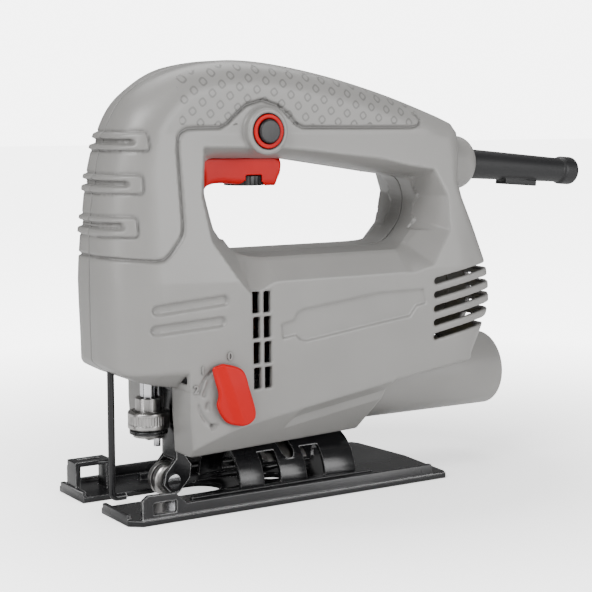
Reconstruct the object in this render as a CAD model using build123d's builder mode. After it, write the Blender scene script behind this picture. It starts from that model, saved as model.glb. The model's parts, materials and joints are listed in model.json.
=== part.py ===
"""Orbital-action jigsaw: two moulded housing halves around a motor, gear train and plunger.

Millimetres. The front of the tool faces -X, its left side -Y, and the sole of the shoe is Z = 0.
Distances called "behind the nose" are measured along +X from the nose's front face.
"""
from build123d import *
from math import cos, pi, radians, sin
import os

os.makedirs("parts", exist_ok=True)

# ---------------------------------------------------------------- driving dimensions
OVERALL_LENGTH = 266.0
NOSE_X = -OVERALL_LENGTH / 2  # front face of the nose
WALL = 2.8  # moulded housing wall
BODY_HALF = 33.0  # half width of the motor body

GRIP_OPENING_HALF = 15.0  # the grip opening is straight to here, then flares outwards
GRIP_FLARE = 11.0

MOTOR_Z = 74.0  # armature axis, along X
STATOR_R = 25.6
ROTOR_R = 14.0
SHAFT_R = 4.0

MODULE = 1.0  # straight spur teeth
PINION_TEETH = 8
GEAR_TEETH = 38
MESH_SLACK = 0.25  # extra centre distance for backlash
GEAR_Z = MOTOR_Z + MODULE * (PINION_TEETH + GEAR_TEETH) / 2 + MESH_SLACK
GEAR_BACK = 40.0  # rear face of the drive gear, behind the nose
GEAR_WIDTH = 5.0
STROKE = 18.0

PLUNGER_D = 26.8  # plunger axis, behind the nose
PLUNGER_R = 3.5
CHUCK_TOP = 45.0

RUNNING = 0.05  # radial clearance of shafts in their holes
BODY_GAP = 0.3  # air between pieces that move past each other

ARM_PIVOT = (39.8, 48.0)
ROLLER = (35.2, 8.3)
ROLLER_R = 7.4
LEVER = (48.7, 47.0)
LEVER_FACE = 37.4  # how far the lever stands out from the mid-plane

SHOE_LENGTH = 156.0
SHOE_HALF = 38.0
SHOE_THICK = 2.6
TUNNEL_R = 20.0
TUNNEL_AXIS_Z = 2.6
TILT_SCREW = 88.0  # behind the nose

TUBE_Z = 41.5
TUBE_R = 17.6
TUBE_BORE = 15.6
TUBE_END = 208.0
TUBE_START = 130.5


def side_plane(y=0.0):
    """Looking from the tool's left: local x is behind the nose, local y is height, normal -Y."""
    return Plane(origin=(NOSE_X, y, 0), x_dir=(1, 0, 0), z_dir=(0, -1, 0))


def cross_plane(behind_nose):
    """Across the tool: local x is Y, local y is height, normal +X."""
    return Plane(origin=(NOSE_X + behind_nose, 0, 0), x_dir=(0, 1, 0), z_dir=(1, 0, 0))


def level_plane(z=0.0):
    """Level with the sole: local x is behind the nose, local y is Y, normal +Z."""
    return Plane(origin=(NOSE_X, 0, z), x_dir=(1, 0, 0), z_dir=(0, 0, 1))


def save(piece, name):
    piece.part.label = name
    export_step(piece.part, f"parts/{name}.step")


def rod(start, length, radius, bore=0.0, z=MOTOR_Z, y=0.0):
    """Round piece along X, from start behind the nose, with an optional bore."""
    with BuildPart() as piece:
        with BuildSketch(cross_plane(start)):
            with Locations((y, z)):
                Circle(radius)
                if bore:
                    Circle(bore, mode=Mode.SUBTRACT)
        extrude(amount=length)
    return piece


def pin_y(where, low_y, high_y, radius, bore=0.0):
    """Round piece along Y between two Y values, where = (behind the nose, height)."""
    with BuildPart() as piece:
        with BuildSketch(side_plane(high_y)):
            with Locations(where):
                Circle(radius)
                if bore:
                    Circle(bore, mode=Mode.SUBTRACT)
        extrude(amount=high_y - low_y)
    return piece


def post(behind_nose, low_z, high_z, radius, bore=0.0, y=0.0):
    """Round piece along Z between two heights."""
    with BuildPart() as piece:
        with BuildSketch(level_plane(low_z)):
            with Locations((behind_nose, y)):
                Circle(radius)
                if bore:
                    Circle(bore, mode=Mode.SUBTRACT)
        extrude(amount=high_z - low_z)
    return piece


def block(x_span, y_span, z_span):
    """Rectangular piece from three (low, high) spans, x behind the nose."""
    with BuildPart() as piece:
        with BuildSketch(level_plane(z_span[0])):
            with Locations(((x_span[0] + x_span[1]) / 2, (y_span[0] + y_span[1]) / 2)):
                Rectangle(x_span[1] - x_span[0], y_span[1] - y_span[0])
        extrude(amount=z_span[1] - z_span[0])
    return piece


# ---------------------------------------------------------------- housing envelope
# Side outline: point, corner radius. It runs from the nose's lower rear corner round the
# front, over the grip, down the back and along the underside to the front block.
SIDE_OUTLINE = [
    ((33.0, 51.0), 0), ((9.0, 56.0), 8), ((0.0, 70.0), 12), ((0.0, 112.0), 30), ((5.0, 150.0), 25),
    ((14.5, 170.0), 15), ((36.0, 184.0), 20), ((66.0, 187.6), 40), ((100.0, 183.6), 60),
    ((177.5, 161.0), 5), ((176.0, 133.0), 10), ((190.0, 88.0), 6), ((189.0, 74.0), 6),
    ((177.0, 52.0), 8), ((124.0, 45.5), 30), ((74.0, 37.5), 0), ((74.0, 22.5), 0), ((33.0, 22.5), 0),
]
# Half section seen from the front: (half width, height).
CROSS_OUTLINE = [
    (26.5, 22.0), (32.5, 34.0), (BODY_HALF, 60.0), (BODY_HALF, 93.0), (28.5, 108.0),
    (24.0, 135.0), (21.0, 158.0), (19.0, 174.0), (12.0, 184.5), (5.0, 188.5),
]
# Half plan: (behind the nose, half width).
PLAN_CORNERS = [((0.0, 24.0), 20), ((24.0, 28.5), 20), ((58.0, BODY_HALF), 40),
                ((180.0, BODY_HALF), 8), ((190.5, 20.0), 8)]
# Grip opening at the middle of the tool: front edge, top, rear edge, bottom.
OPENING = [(50.5, 120.0), (47.5, 134.0), (48.5, 146.0), (94.0, 145.0), (142.0, 137.5),
           (157.0, 135.0), (160.0, 119.0), (150.0, 107.0), (140.0, 104.0), (66.0, 104.5),
           (57.0, 109.0)]
BOSS_Z = 141.8  # cord boss at the back of the grip
BOSS_R = 12.6
SLEEVE_ROOT = 182.0  # start of the strain-relief sleeve, behind the nose
SLEEVE_ROOT_R = 7.4
SLEEVE_DROP = 4.2  # the sleeve points this far below level, in degrees
SLEEVE_LENGTH = (OVERALL_LENGTH - SLEEVE_ROOT - 0.5) / cos(radians(SLEEVE_DROP))
SLEEVE_BORE = 3.6


def sleeve_plane(along):
    """Square to the sleeve's axis, some way along it; local y is up."""
    drop = radians(SLEEVE_DROP)
    root = Vector(NOSE_X + SLEEVE_ROOT, 0, BOSS_Z)
    axis = Vector(cos(drop), 0, -sin(drop))
    return Plane(origin=root + axis * along, x_dir=(0, 1, 0), z_dir=axis)


def envelope(inset):
    """Outer form of the closed housing, or its cavity when inset by the wall."""
    with BuildPart() as form:
        with BuildSketch(side_plane()):
            with BuildLine():
                FilletPolyline(*[p for p, _ in SIDE_OUTLINE],
                               radius=[r for _, r in SIDE_OUTLINE], close=True)
            make_face()
            if inset:
                offset(amount=-inset)
        extrude(amount=2 * BODY_HALF, both=True)
        with BuildSketch(cross_plane(-10)):
            right = [(w, h) for w, h in CROSS_OUTLINE]
            left = [(-w, h) for w, h in reversed(CROSS_OUTLINE)]
            with BuildLine():
                Polyline(*right, *left, close=True)
            make_face()
            if inset:
                offset(amount=-inset)
        extrude(amount=OVERALL_LENGTH, mode=Mode.INTERSECT)
        with BuildSketch(level_plane()):
            near = [((x, -w), r) for (x, w), r in PLAN_CORNERS]
            far = [((x, w), r) for (x, w), r in reversed(PLAN_CORNERS)]
            with BuildLine():
                FilletPolyline(*[p for p, _ in near + far], radius=[r for _, r in near + far],
                               close=True)
            make_face()
            if inset:
                offset(amount=-inset)
        extrude(amount=2 * CROSS_OUTLINE[-1][1], mode=Mode.INTERSECT)
        # keel between the front block and the dust tube
        with BuildSketch(cross_plane(70 if inset else 72)):
            with BuildLine():
                half = [(23.5 - inset, 23.0 + inset), (28.5 - inset, 38.0), (28.5 - inset, 50.0)]
                Polyline(*half, *[(-w, h) for w, h in reversed(half)], close=True)
            make_face()
        extrude(amount=52.0 if inset else 52.5)
        with BuildSketch(cross_plane(176 if inset else 170)):
            with Locations((0, BOSS_Z)):
                Circle(BOSS_R - inset)
        extrude(amount=(20.5 - inset) if inset else 29.5)
        # grip opening: straight through the middle, flared towards both sides
        with BuildSketch(side_plane()):
            Polygon(*OPENING, align=None)
            if inset:
                offset(amount=inset, kind=Kind.INTERSECTION)
        extrude(amount=2 * BODY_HALF, both=True, mode=Mode.SUBTRACT)
        for side in (-1, 1):
            with BuildSketch(side_plane(side * GRIP_OPENING_HALF)):
                Polygon(*OPENING, align=None)
                if inset:
                    offset(amount=inset, kind=Kind.INTERSECTION)
            with BuildSketch(side_plane(side * (BODY_HALF + 1))):
                Polygon(*OPENING, align=None)
                offset(amount=GRIP_FLARE + inset, kind=Kind.INTERSECTION)
            loft(ruled=True, mode=Mode.SUBTRACT)
    return form


# ---------------------------------------------------------------- housing halves
SCREWS = [(13.0, 67.0), (14.5, 150.0), (44.0, 172.0), (108.0, 168.0), (169.0, 118.0),
          (150.0, 95.0), (62.0, 31.0)]
SCREW_BOSS_R = 3.8
SCREW_R = 1.6
HEAD_R = 3.0
HEAD_Y = 8.0  # face under the screw heads
SLOT_PITCH = 6.3
SLOT_RISE = 10.0  # the rear slots climb towards the back, in degrees
REAR_SEAT = (133.0, 140.0)  # rear bearing, behind the nose
LOCK = (72.0, 157.2)  # lock button axis

outer = envelope(0)
cavity = envelope(WALL)
FAR = 3 * BODY_HALF  # well outside the tool on either side

# bosses, bearing seats and stator rings, trimmed to the cavity
with BuildPart() as ribs:
    add(block(REAR_SEAT, (-FAR, FAR), (61, 98)).part)
    for start in (74.5, 104.0):
        add(block((start, start + 3), (-FAR, FAR), (46, 98)).part)
    add([rod(REAR_SEAT[0] - 1, 9, 11.0).part, rod(60, 60, STATOR_R + RUNNING).part],
        mode=Mode.SUBTRACT)
    add([pin_y(where, -FAR, FAR, SCREW_BOSS_R).part for where in SCREWS])
    add(cavity.part, mode=Mode.INTERSECT)

# two columns of four cooling windows on each side
with BuildPart() as windows:
    with BuildSketch(side_plane()):
        with Locations((64.15, 70.5)):
            with GridLocations(5.3, 10.7, 2, 4):
                Rectangle(3.4, 9.0)
    extrude(amount=FAR, both=True)
    add(block((50, 80), (-24, 24), (40, 100)).part, mode=Mode.SUBTRACT)

# five slots on each side that run round the rear corners
with BuildPart() as slots:
    with BuildSketch(side_plane()):
        for row in range(5):
            with Locations(Location((172.2, 67.4 + row * SLOT_PITCH, 0), SLOT_RISE)):
                Rectangle(36.0, 3.0)
    extrude(amount=FAR, both=True)
    add(block((140, 210), (-14, 14), (40, 120)).part, mode=Mode.SUBTRACT)

with BuildPart() as sleeve_hole:
    with BuildSketch(sleeve_plane(-6.0)):
        Circle(9.6)
    extrude(amount=8.5)
    with BuildSketch(sleeve_plane(-6.0)):
        Circle(SLEEVE_ROOT_R + BODY_GAP)
    extrude(amount=40.0)

HOLLOWS = [
    rod(124, 90, TUBE_R + BODY_GAP, z=TUBE_Z),
    sleeve_hole,
    rod(112, 20, 12.0, z=34.5),
    block((48.9, 88.3), (-9.2, 9.2), (128, 153)),
    block((28, 47.5), (-12.5, 12.5), (18, 60)),
    post(PLUNGER_D, 46, 61, 9.5),
    post(9.3, 50, 64, 1.6),
    post(TILT_SCREW, 20, 36, 2.8),
    windows,
    slots,
]
LEFT_HOLLOWS = [
    pin_y(LEVER, -40, -5, 4.0),
    pin_y(LOCK, -30, -9, 5.2),
    pin_y(LOCK, -30, -22, 7.3),
]


def housing_half(side):
    """One moulded half: side is -1 for the left, which carries the lock button, or 1."""
    bore = SCREW_R + RUNNING
    hollows = list(HOLLOWS)
    if side < 0:
        hollows += LEFT_HOLLOWS
        hollows += [pin_y(where, -14, 1, bore) for where in SCREWS]
    else:
        hollows += [pin_y(where, -1, FAR, bore + 0.3) for where in SCREWS]
        hollows += [pin_y(where, HEAD_Y, FAR, HEAD_R + 0.5) for where in SCREWS]
    with BuildPart() as half:
        add(outer.part)
        add(cavity.part, mode=Mode.SUBTRACT)
        add(ribs.part)
        if side < 0:
            add(pin_y(LOCK, -24.6, -12.0, 9.6).part)
        add(block((-20, 230), sorted((0, side * FAR)), (0, 200)).part, mode=Mode.INTERSECT)
        add([hollow.part for hollow in hollows], mode=Mode.SUBTRACT)
    return half


save(housing_half(-1), "housing_left")
save(housing_half(1), "housing_right")

with BuildPart() as housing_screws:
    for screw in SCREWS:
        add(pin_y(screw, -12, HEAD_Y, SCREW_R).part)
        add(pin_y(screw, HEAD_Y, HEAD_Y + 2.2, HEAD_R).part)
        with BuildSketch(side_plane(HEAD_Y + 2.2)):
            with Locations(screw):
                Rectangle(3.6, 0.8)
                Rectangle(0.8, 3.6)
        extrude(amount=1.2, mode=Mode.SUBTRACT)
save(housing_screws, "housing_screws")

# ---------------------------------------------------------------- gear case and plunger guides
PLATE = (41.3, 44.3)  # front and rear faces of the case plate
FRONT_BEARING = (45.5, 52.5)
EAR_Y = (6.9, 8.3)  # ears that carry the guide arm's pin
BUSH_R = 6.5
LOWER_BUSH = (66.5, 74.5)
UPPER_BUSH = (124.0, 132.0)

with BuildPart() as gear_case:
    add(block(PLATE, (-22, 22), (55, 95)).part)
    add(block(PLATE, (-12, 12), (90, 132)).part)
    add(block((18.5, 34.2), (-9, 9), LOWER_BUSH).part)
    add(block((33, 43), (-9, 9), (LOWER_BUSH[0], 68.5)).part)
    add(block((18.5, 43), (-9, 9), UPPER_BUSH).part)
    add(rod(PLATE[0], 11.5, 14.0).part)
    for ear in (-1, 1):
        add(block((35.5, 44), sorted((ear * EAR_Y[0], ear * EAR_Y[1])), (43.5, 60)).part)
    add(rod(40, 15, 6.2).part, mode=Mode.SUBTRACT)
    add(rod(FRONT_BEARING[0], 15, 11.0).part, mode=Mode.SUBTRACT)
    add(rod(40, 15, 3.0 + RUNNING, z=GEAR_Z).part, mode=Mode.SUBTRACT)
    add(post(PLUNGER_D, 50, 140, BUSH_R).part, mode=Mode.SUBTRACT)
    add(pin_y(ARM_PIVOT, -20, 20, 2.0).part, mode=Mode.SUBTRACT)
save(gear_case, "gear_case")

save(post(PLUNGER_D, *LOWER_BUSH, BUSH_R, PLUNGER_R + RUNNING), "lower_plunger_bush")
save(post(PLUNGER_D, *UPPER_BUSH, BUSH_R, PLUNGER_R + RUNNING), "upper_plunger_bush")
save(post(PLUNGER_D, LOWER_BUSH[0] - 2.7, LOWER_BUSH[0], 7.3, PLUNGER_R + BODY_GAP), "plunger_seal")


def ball_bearing(start, width, outer_r, bore_r):
    """Two races and the sealed balls between them, as one closed ring with shield grooves."""
    with BuildPart() as bearing:
        add(rod(start, width, outer_r, bore_r).part)
        for face in (start, start + width - 0.5):
            add(rod(face, 0.5, outer_r - 1.6, bore_r + 1.5).part, mode=Mode.SUBTRACT)
    return bearing


save(ball_bearing(FRONT_BEARING[0], 7, 11.0, SHAFT_R + RUNNING), "front_bearing")
save(ball_bearing(REAR_SEAT[0], 7, 11.0, SHAFT_R + RUNNING), "rear_bearing")

# ---------------------------------------------------------------- motor
save(rod(74, 36, STATOR_R, ROTOR_R + 1.2), "stator_core")

with BuildPart() as field_coils:
    for start in (69.0, 110.3):
        with BuildSketch(cross_plane(start)):
            with Locations((0, MOTOR_Z)):
                Circle(24.0)
                Circle(17.0, mode=Mode.SUBTRACT)
                Rectangle(50, 14, mode=Mode.SUBTRACT)
        extrude(amount=4.7)
save(field_coils, "field_coils")

with BuildPart() as armature_core:
    add(rod(74.5, 35, ROTOR_R, SHAFT_R).part)
    with BuildSketch(cross_plane(74.5)):
        with Locations((0, MOTOR_Z)):
            with PolarLocations(12.4, 12):
                Rectangle(3.4, 1.6)
    extrude(amount=35, mode=Mode.SUBTRACT)
save(armature_core, "armature_core")

with BuildPart() as armature_winding:
    for start in (69.5, 109.5):
        add(rod(start, 5.0, 11.8, SHAFT_R).part)
    fillet(armature_winding.edges().filter_by(GeomType.CIRCLE).filter_by(
        lambda e: e.radius > 10), radius=1.8)
save(armature_winding, "armature_winding")

with BuildPart() as commutator:
    add(rod(116.5, 12, 9.5, SHAFT_R).part)
    with BuildSketch(cross_plane(116.5)):
        with Locations((0, MOTOR_Z)):
            with PolarLocations(9.2, 24):
                Rectangle(1.4, 0.5)
    extrude(amount=10, mode=Mode.SUBTRACT)
save(commutator, "commutator")

FAN_BLADES = 12
with BuildPart() as cooling_fan:
    add(rod(57, 9, 7.0, SHAFT_R).part)
    add(rod(64.8, 1.2, 22.0, SHAFT_R).part)
    with BuildSketch(cross_plane(57.5)):
        with Locations((0, MOTOR_Z)):
            with PolarLocations(14.2, FAN_BLADES):
                Rectangle(15.0, 1.3)
    extrude(amount=8)
save(cooling_fan, "cooling_fan")


def gear_outline(teeth, phase):
    """Corner points of straight-flanked spur teeth; phase turns the first tooth, in degrees."""
    root = MODULE * (teeth / 2 - 1.25)
    pitch = MODULE * teeth / 2
    tip = MODULE * (teeth / 2 + 0.9)
    points = []
    for tooth in range(teeth):
        centre = radians(phase) + 2 * pi * tooth / teeth
        for radius, half in ((root, 1.02), (pitch, 0.70), (tip, 0.28)):
            points.append((radius, centre - half * MODULE / radius))
        for radius, half in ((tip, 0.28), (pitch, 0.70), (root, 1.02)):
            points.append((radius, centre + half * MODULE / radius))
    return [(r * cos(a), r * sin(a)) for r, a in points]


with BuildPart() as drive_pinion:
    with BuildSketch(cross_plane(GEAR_BACK - GEAR_WIDTH)):
        with Locations((0, MOTOR_Z)):
            Polygon(*gear_outline(PINION_TEETH, 90.0), align=None)
            Circle(1.9, mode=Mode.SUBTRACT)
    extrude(amount=GEAR_WIDTH)
    add(rod(GEAR_BACK, 5.0, 3.5, 1.9).part)
save(drive_pinion, "drive_pinion")

with BuildPart() as shaft:
    add(rod(45.0, 100, SHAFT_R).part)
    add(rod(36, 9, 1.9).part)
save(shaft, "armature_shaft")

with BuildPart() as drive_gear:
    with BuildSketch(cross_plane(GEAR_BACK - GEAR_WIDTH)):
        with Locations((0, GEAR_Z)):
            # a gap between two teeth faces the pinion, which has a tooth on top
            Polygon(*gear_outline(GEAR_TEETH, -90.0 + 180.0 / GEAR_TEETH), align=None)
            Circle(3.0, mode=Mode.SUBTRACT)
            with PolarLocations(12.5, 6, start_angle=30):
                Circle(2.6, mode=Mode.SUBTRACT)
    extrude(amount=GEAR_WIDTH)
save(drive_gear, "drive_gear")
save(rod(34.6, 14.0, 3.0, z=GEAR_Z), "gear_shaft")

# the crank pin's tip stops short of the yoke: the slider-crank is left open there
save(rod(32.2, GEAR_BACK - GEAR_WIDTH - 32.2, 2.4, z=GEAR_Z - STROKE / 2), "crank_pin")


BRUSH_D = 122.5  # brushes, behind the nose


def brush_pair(low_y, high_y, half_x, half_z, hole=None):
    """Two matching blocks either side of the commutator."""
    with BuildPart() as pair:
        for side in (-1, 1):
            span = sorted((side * low_y, side * high_y))
            add(block((BRUSH_D - half_x, BRUSH_D + half_x), span,
                      (MOTOR_Z - half_z, MOTOR_Z + half_z)).part)
            if hole:
                add(block((BRUSH_D - hole[0], BRUSH_D + hole[0]), span,
                          (MOTOR_Z - hole[1], MOTOR_Z + hole[1])).part, mode=Mode.SUBTRACT)
    return pair


save(brush_pair(11.5, 27.0, 4.6, 5.6, hole=(3.15, 4.15)), "brush_holders")
save(brush_pair(9.8, 19.0, 3.1, 4.1), "carbon_brushes")


def coil_spring(foot, direction, pitch, height, radius, wire):
    """Round-wire helical spring that stands on its foot point."""
    with BuildPart() as spring:
        with BuildLine():
            path = Helix(pitch=pitch, height=height, radius=radius, center=foot, direction=direction)
        with BuildSketch(Plane(origin=path @ 0, z_dir=path % 0)):
            Circle(wire)
        sweep(is_frenet=True)
    return spring


with BuildPart() as brush_springs:
    for side in (-1, 1):
        foot = (NOSE_X + BRUSH_D, side * 19.5, MOTOR_Z)
        add(coil_spring(foot, (0, side, 0), 1.5, 6.3, 2.3, 0.3).part)
save(brush_springs, "brush_springs")

# ---------------------------------------------------------------- plunger, yoke and blade clamp
YOKE_Z = GEAR_Z - STROKE / 2
save(post(PLUNGER_D, CHUCK_TOP - 4, 141.0, PLUNGER_R), "plunger_rod")

with BuildPart() as yoke:
    with BuildSketch(cross_plane(28.6)):
        with Locations((0, YOKE_Z)):
            RectangleRounded(29, 13, 3)
            SlotOverall(25.0, 5.4, mode=Mode.SUBTRACT)
    extrude(amount=3.0)
    add(block((22.0, 29.0), (-6.2, 6.2), (YOKE_Z + 4.4, YOKE_Z + 9)).part)
    add(block((22.0, 29.0), (-6.2, 6.2), (YOKE_Z - 9, YOKE_Z - 4.4)).part)
    add(post(PLUNGER_D, YOKE_Z - 20, YOKE_Z + 20, PLUNGER_R).part, mode=Mode.SUBTRACT)
save(yoke, "scotch_yoke")

with BuildPart() as clamp_body:
    add(post(PLUNGER_D, 39.3, CHUCK_TOP, 5.6).part)
    add(post(PLUNGER_D, 28.0, 39.3, 6.6).part)
    fillet(clamp_body.edges().filter_by(GeomType.CIRCLE).sort_by(Axis.Z)[-1], radius=0.5)
    add(post(PLUNGER_D, CHUCK_TOP - 4, CHUCK_TOP, PLUNGER_R).part, mode=Mode.SUBTRACT)
    add(block((PLUNGER_D - 4.2, PLUNGER_D + 4.0), (-0.8, 0.8), (28.0, 40.0)).part, mode=Mode.SUBTRACT)
    add(post(PLUNGER_D + 4.0, 28.0, 33.0, 1.5).part, mode=Mode.SUBTRACT)
save(clamp_body, "blade_clamp_body")

with BuildPart() as clamp_collar:
    add(post(PLUNGER_D, 31.3, 39.2, 8.9, 6.6 + RUNNING).part)
    edges = clamp_collar.edges().filter_by(GeomType.CIRCLE).filter_by(lambda e: e.radius > 8)
    chamfer(edges, length=0.9)
save(clamp_collar, "blade_clamp_collar")
save(post(PLUNGER_D, 29.3, 31.0, 8.2, 6.6 + RUNNING), "clamp_retainer")
save(post(PLUNGER_D + 4.0, 23.2, 33.0, 1.5), "clamp_pin")

# ---------------------------------------------------------------- orbital guide
ARM_HALF = 5.0
FORK_Y = (4.9, 6.7)

with BuildPart() as guide_arm:
    add(pin_y(ARM_PIVOT, -6.6, 6.6, 3.6).part)
    add(block((36.6, 38.8), (-ARM_HALF, ARM_HALF), (17.0, 48.0)).part)
    for side in (-1, 1):
        with BuildSketch(side_plane(side * FORK_Y[0])):
            with BuildLine():
                Polyline((36.6, 26), (36.6, 18), (31.5, 12), (30.5, 7), (34, 3.2), (38, 3.6), (43.0, 9),
                         (43.6, 15), (40.0, 20), (38.8, 26), close=True)
            make_face()
        extrude(amount=-side * (FORK_Y[1] - FORK_Y[0]))
    add(block((36.6, 38.8), (-FORK_Y[1], FORK_Y[1]), (17.0, 26.0)).part)
    add(pin_y(ARM_PIVOT, -20, 20, 2.0 + RUNNING).part, mode=Mode.SUBTRACT)
    add(pin_y(ROLLER, -20, 20, 2.0).part, mode=Mode.SUBTRACT)
save(guide_arm, "guide_arm")
save(pin_y(ARM_PIVOT, -EAR_Y[1], EAR_Y[1], 2.0), "arm_pivot_pin")

with BuildPart() as roller:
    with BuildSketch(side_plane(0)):
        with Locations(ROLLER):
            Circle(ROLLER_R)
            Circle(2.0 + RUNNING, mode=Mode.SUBTRACT)
    extrude(amount=4.5, both=True)
    chamfer(roller.edges().filter_by(GeomType.CIRCLE).filter_by(lambda e: e.radius > 5), length=1.0)
    with BuildSketch(side_plane(0)):
        with Locations(ROLLER):
            Circle(ROLLER_R + 1)
            Circle(ROLLER_R - 1.2, mode=Mode.SUBTRACT)
    extrude(amount=0.7, both=True, mode=Mode.SUBTRACT)
save(roller, "guide_roller")

with BuildPart() as roller_pin:
    add(pin_y(ROLLER, -FORK_Y[1], FORK_Y[1], 2.0).part)
    for side in (-1, 1):
        low, high = sorted((side * FORK_Y[1], side * (FORK_Y[1] + 0.7)))
        add(pin_y(ROLLER, low, high, 3.1).part)
save(roller_pin, "roller_pin")

with BuildPart() as selector_lever:
    with BuildSketch(side_plane(-BODY_HALF - 0.3)):
        with Locations(LEVER):
            Circle(9.6)
        with BuildLine():
            Polyline((38.9, 60.9), (43.4, 62.6), (52.4, 59.2), (58.2, 43.0), (41.0, 43.0), (41.0, 49.0),
                     close=True)
        make_face()
    extrude(amount=LEVER_FACE - BODY_HALF - 0.3)
save(selector_lever, "selector_lever")

with BuildPart() as selector_shaft:
    add(pin_y(LEVER, -BODY_HALF - 0.3, -8.5, 3.7).part)
    with BuildSketch(side_plane(-8.5)):
        with Locations(LEVER):
            Circle(6.0)
            with Locations((-6.2, 0)):
                Rectangle(3.0, 12.0, mode=Mode.SUBTRACT)
    extrude(amount=4.0)
save(selector_shaft, "selector_cam_shaft")

# ---------------------------------------------------------------- trigger, lock and switch
TRIGGER_HALF = 8.4
DIAL_D = 74.5
DIAL_R = 8.8

with BuildPart() as trigger:
    with BuildSketch(side_plane()):
        with BuildLine():
            Polyline((50.0, 146.5), (49.6, 138.5), (50.3, 132.0), (53.2, 135.4), (57.5, 136.2),
                     (76.5, 134.9), (84.0, 135.2), (87.3, 137.5), (87.3, 146.5), close=True)
        make_face()
    extrude(amount=TRIGGER_HALF, both=True)
    add(block((54, 84), (-6.5, 6.5), (146.5, 148.2)).part)
    add(post(DIAL_D, 125, 138.2, DIAL_R + BODY_GAP).part, mode=Mode.SUBTRACT)
    add(post(DIAL_D, 125, 142.0, 2.0 + RUNNING).part, mode=Mode.SUBTRACT)
save(trigger, "trigger")

with BuildPart() as speed_dial:
    with BuildSketch(level_plane(133.7)):
        with Locations((DIAL_D, 0)):
            Circle(DIAL_R)
            with PolarLocations(DIAL_R, 24):
                Rectangle(1.0, 1.1, mode=Mode.SUBTRACT)
    extrude(amount=4.1)
    add(post(DIAL_D, 137.8, 141.6, 2.0).part)
save(speed_dial, "speed_dial")

SWITCH_Z = (153.5, 172.0)
save(block((58, 90), (-7.2, 7.2), SWITCH_Z), "switch_body")
save(coil_spring((NOSE_X + 80, 0, 148.6), (0, 0, 1), 1.4, 4.3, 2.6, 0.3), "trigger_spring")

save(pin_y(LOCK, -25.4, -22.05, 7.2, 5.2), "lock_ring")
with BuildPart() as lock_button:
    add(pin_y(LOCK, -26.6, -12.5, 5.0).part)
    fillet(lock_button.edges().filter_by(GeomType.CIRCLE).sort_by(Axis.Y)[0], radius=0.8)
save(lock_button, "lock_button")

save(pin_y((165, 76), -11, 11, 6.5), "suppression_capacitor")

# ---------------------------------------------------------------- cord outlet
with BuildPart() as strain_relief:
    with BuildSketch(sleeve_plane(0)):
        Circle(SLEEVE_ROOT_R)
    with BuildSketch(sleeve_plane(74.0)):
        Circle(5.9)
    loft()
    with BuildSketch(sleeve_plane(-2.0)):
        Circle(9.2)
    extrude(amount=3.5)
    with BuildSketch(sleeve_plane(73.5)):
        Circle(6.9)
    extrude(amount=SLEEVE_LENGTH - 73.5)
    fillet(strain_relief.edges().filter_by(GeomType.CIRCLE).sort_by(Axis.X)[-1], radius=2.5)
    with BuildSketch(sleeve_plane(38.0)):
        with Locations((0, -7.4)):
            Rectangle(8.0, 2.6)
    extrude(amount=20.0)
    with BuildSketch(sleeve_plane(-4.0)):
        Circle(SLEEVE_BORE)
    extrude(amount=SLEEVE_LENGTH + 8, mode=Mode.SUBTRACT)
save(strain_relief, "strain_relief_sleeve")

with BuildPart() as cord_clamp:
    with BuildSketch(cross_plane(165.0)):
        with Locations((0, 143.0)):
            RectangleRounded(24, 7, 1.5)
            with Locations((0, 3.5)):
                Circle(3.4, mode=Mode.SUBTRACT)
    extrude(amount=6.0)
save(cord_clamp, "cord_clamp")

# ---------------------------------------------------------------- dust tube and guard wire
with BuildPart() as dust_tube:
    with BuildSketch(cross_plane(TUBE_START)):
        with Locations((0, TUBE_Z)):
            Circle(TUBE_R - 0.4)
    with BuildSketch(cross_plane(TUBE_END)):
        with Locations((0, TUBE_Z)):
            Circle(TUBE_R)
    loft()
    fillet(dust_tube.edges().filter_by(GeomType.CIRCLE).sort_by(Axis.X)[-1], radius=1.2)
    add(rod(TUBE_START - 1, TUBE_END - TUBE_START + 2, TUBE_BORE, z=TUBE_Z).part, mode=Mode.SUBTRACT)
save(dust_tube, "dust_tube")

with BuildPart() as guard_wire:
    with BuildLine(side_plane()):
        wire_path = FilletPolyline((9.3, 61.5), (9.3, 3.2), (15.5, 3.2), radius=2.4)
    with BuildSketch(Plane(origin=wire_path @ 0, z_dir=wire_path % 0)):
        Circle(1.5)
    sweep()
save(guard_wire, "guard_wire")

# ---------------------------------------------------------------- shoe
WALL_Y = (35.2, 37.2)  # upright side walls of the shoe
NOTCH_HALF = 8.8

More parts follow.
